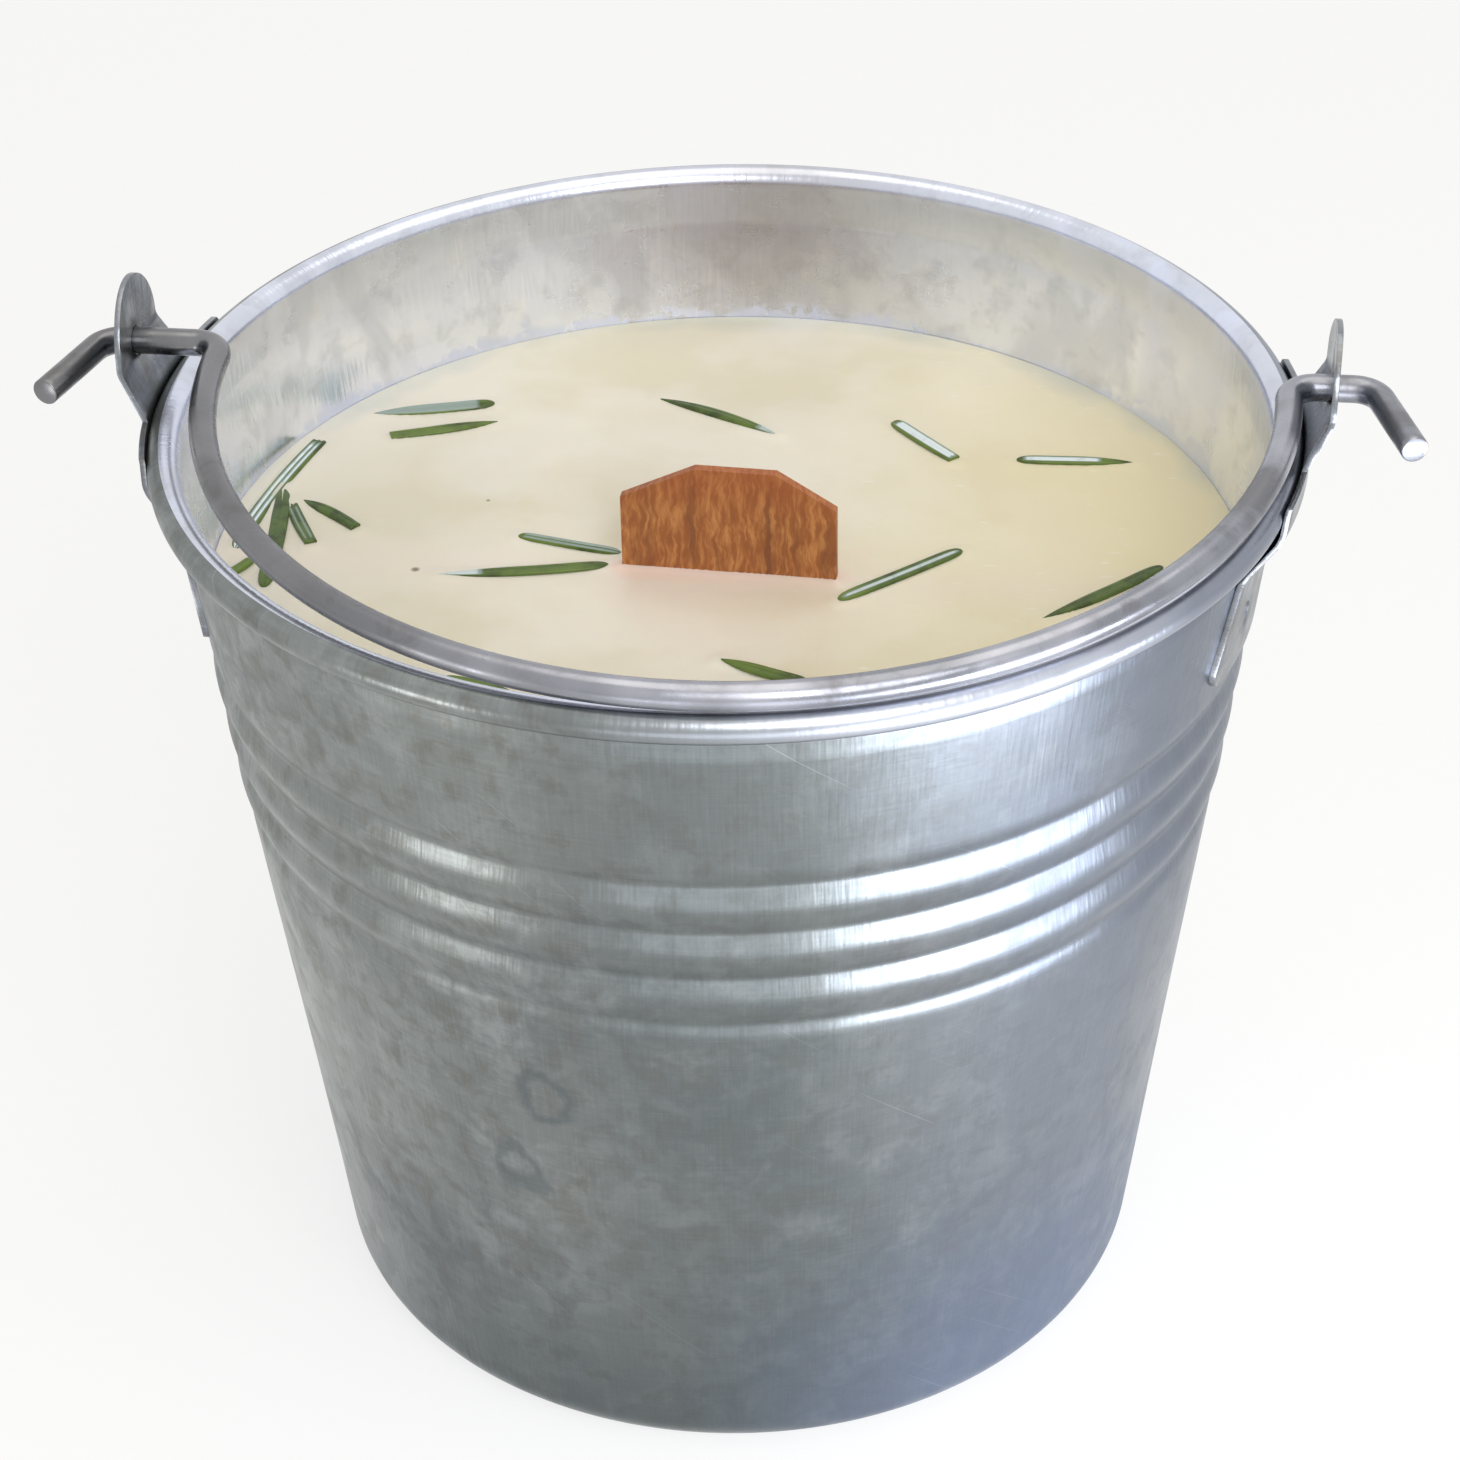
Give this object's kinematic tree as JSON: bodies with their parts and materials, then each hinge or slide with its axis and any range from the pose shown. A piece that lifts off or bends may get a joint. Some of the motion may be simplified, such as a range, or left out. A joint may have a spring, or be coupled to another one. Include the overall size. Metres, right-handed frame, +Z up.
{
  "type": "bucket candle",
  "caption": "Small galvanised steel bucket with a swinging wire bail, filled with cream wax that holds a flat wooden wick and scattered rosemary leaves.",
  "frame": {"origin": "middle of the bucket on its resting plane", "axes": "+Z up; +X along the bail's hinge line; the bail lies forward, towards -Y"},
  "size_m": [0.1246, 0.1052, 0.1026],
  "materials": {
    "galvanised_sheet": "dull galvanised with spangle",
    "ear_steel": "dull galvanised",
    "bail_wire": "drawn galvanised wire, satin",
    "wax": "smooth cream wax, stands in for soy wax",
    "wick_wood": "planed cherry veneer",
    "clip_tinplate": "bright tinplate",
    "pad_foam": "white adhesive foam",
    "rosemary_leaf": "dried leaf, leathery, slightly glossy"
  },
  "bodies": {
    "bucket": {"bucket_body": "galvanised_sheet", "wax_fill": "wax", "wooden_wick": "wick_wood", "wick_clip": "clip_tinplate", "adhesive_pad": "pad_foam", "left_ear": "ear_steel", "right_ear": "ear_steel", "rosemary_leaf_01": "rosemary_leaf", "rosemary_leaf_02": "rosemary_leaf", "rosemary_leaf_03": "rosemary_leaf", "rosemary_leaf_04": "rosemary_leaf", "rosemary_leaf_05": "rosemary_leaf", "rosemary_leaf_06": "rosemary_leaf", "rosemary_leaf_07": "rosemary_leaf", "rosemary_leaf_08": "rosemary_leaf", "rosemary_leaf_09": "rosemary_leaf", "rosemary_leaf_10": "rosemary_leaf", "rosemary_leaf_11": "rosemary_leaf", "rosemary_leaf_12": "rosemary_leaf", "rosemary_leaf_13": "rosemary_leaf", "rosemary_leaf_14": "rosemary_leaf", "rosemary_leaf_15": "rosemary_leaf", "rosemary_leaf_16": "rosemary_leaf"},
    "bail": {"bail_handle": "bail_wire"}
  },
  "joints": [
    {"name": "bail_swing", "type": "hinge", "parent": "bucket", "child": "bail", "pos_m": [0, 0, 0.0964], "axis": [-1, 0, 0], "range_deg": [0, 185.5]}
  ]
}
